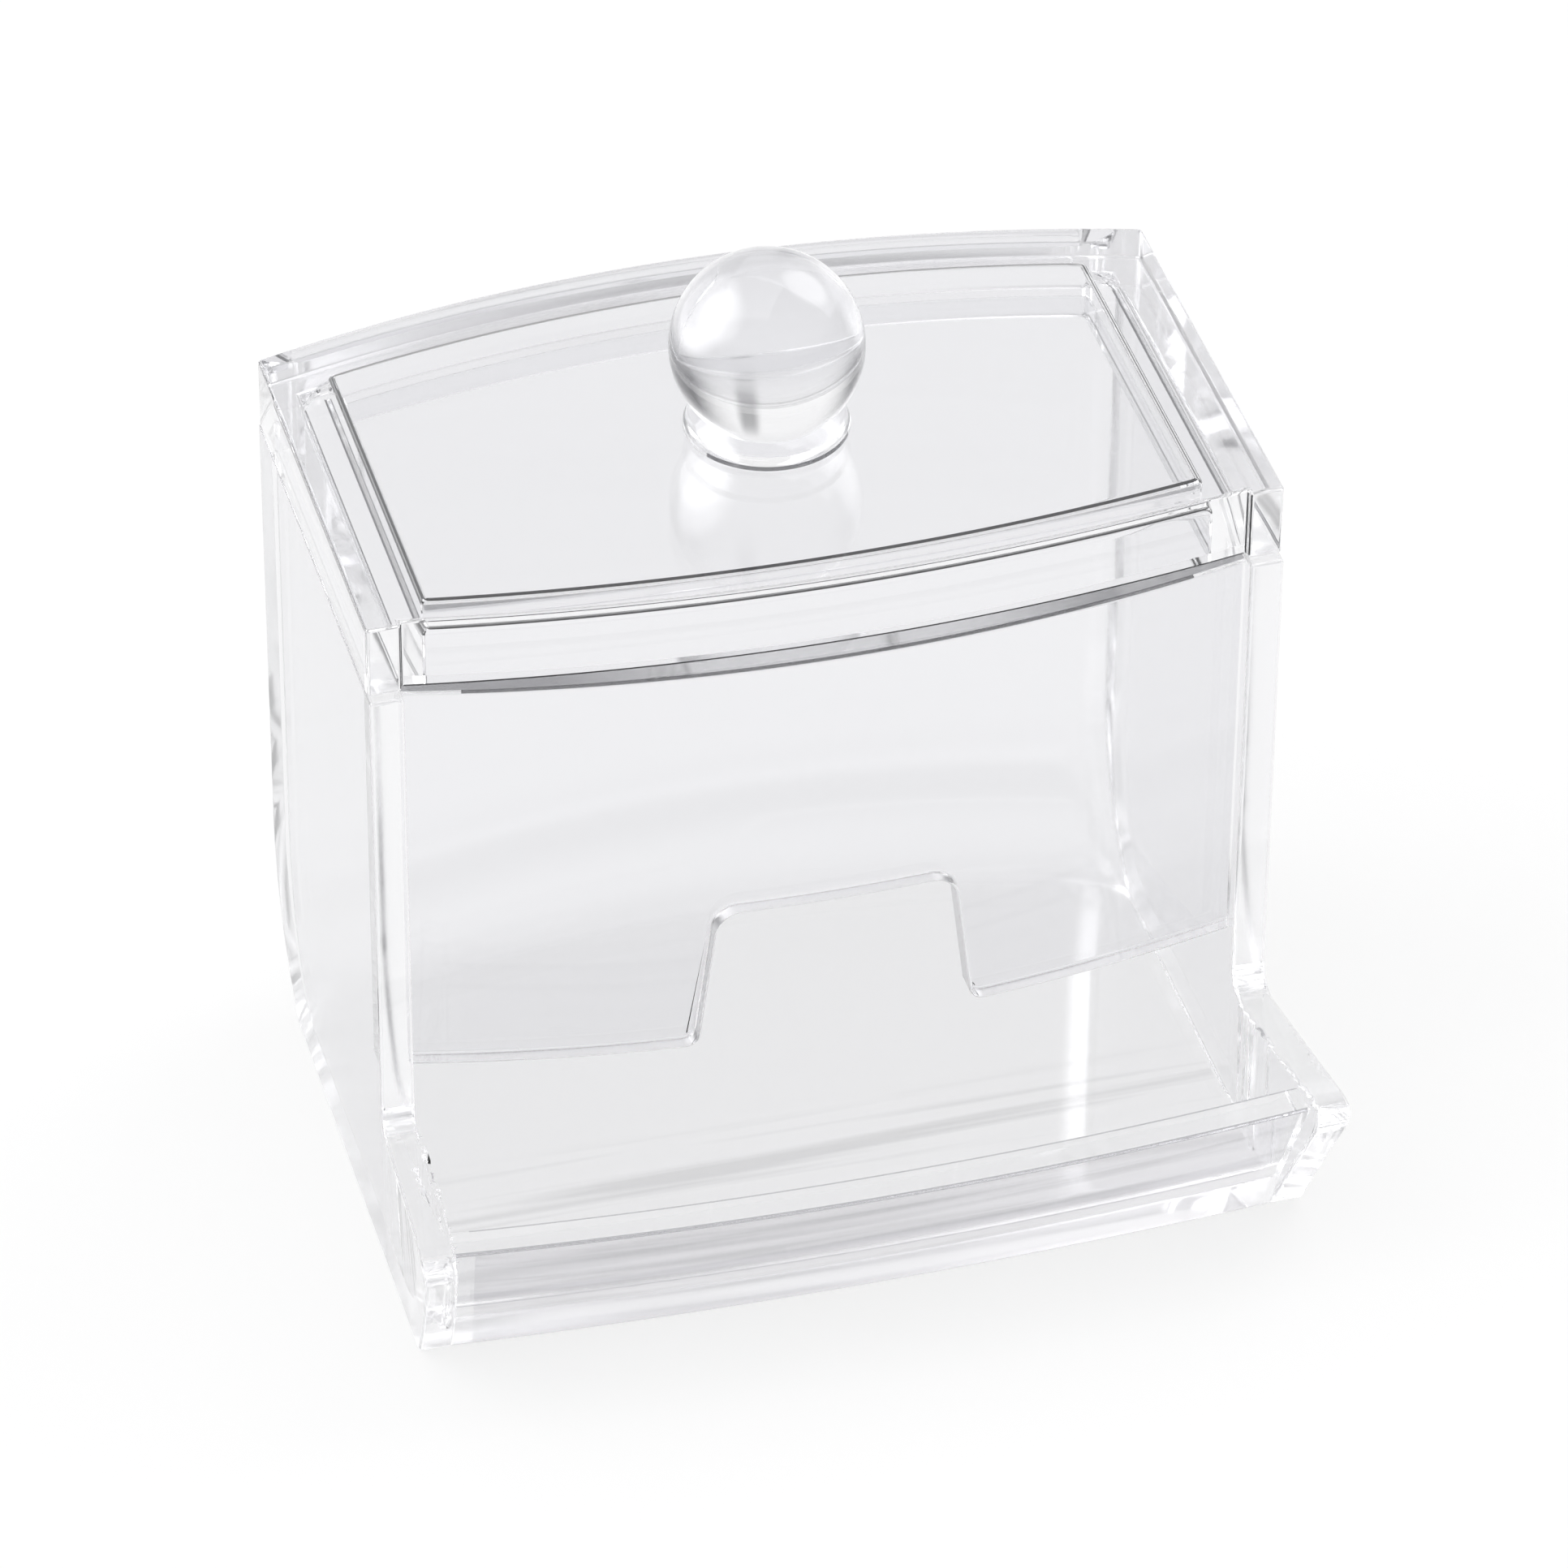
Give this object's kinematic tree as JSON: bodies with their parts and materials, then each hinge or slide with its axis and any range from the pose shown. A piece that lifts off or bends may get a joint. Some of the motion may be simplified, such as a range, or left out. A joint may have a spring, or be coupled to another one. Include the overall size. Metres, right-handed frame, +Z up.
{
  "type": "cotton swab storage box",
  "caption": "Clear plastic counter-top box with a lift-off lid and ball knob; swabs slide down its swept back into an open front tray with a finger notch above it",
  "frame": {"origin": "on the table, under the middle of the whole object's width and depth", "axes": "+Z up, the open tray facing -Y, +X to the right of someone facing the tray"},
  "size_m": [0.0882, 0.0742, 0.09],
  "materials": {
    "clear_body": "clear, polished",
    "clear_lid": "clear, polished",
    "clear_knob": "clear, polished"
  },
  "bodies": {
    "body": {"left_side_wall": "clear_body", "right_side_wall": "clear_body", "left_tray_side": "clear_body", "right_tray_side": "clear_body", "back_wall": "clear_body", "front_wall": "clear_body", "floor_panel": "clear_body", "tray_front": "clear_body"},
    "lid": {"lid_shell": "clear_lid", "knob_collar": "clear_knob", "knob_ball": "clear_knob"}
  },
  "joints": [
    {"name": "lid_lift", "type": "slide", "parent": "body", "child": "lid", "axis": [0, 0, 1], "range_m": [0, 0.08]}
  ]
}
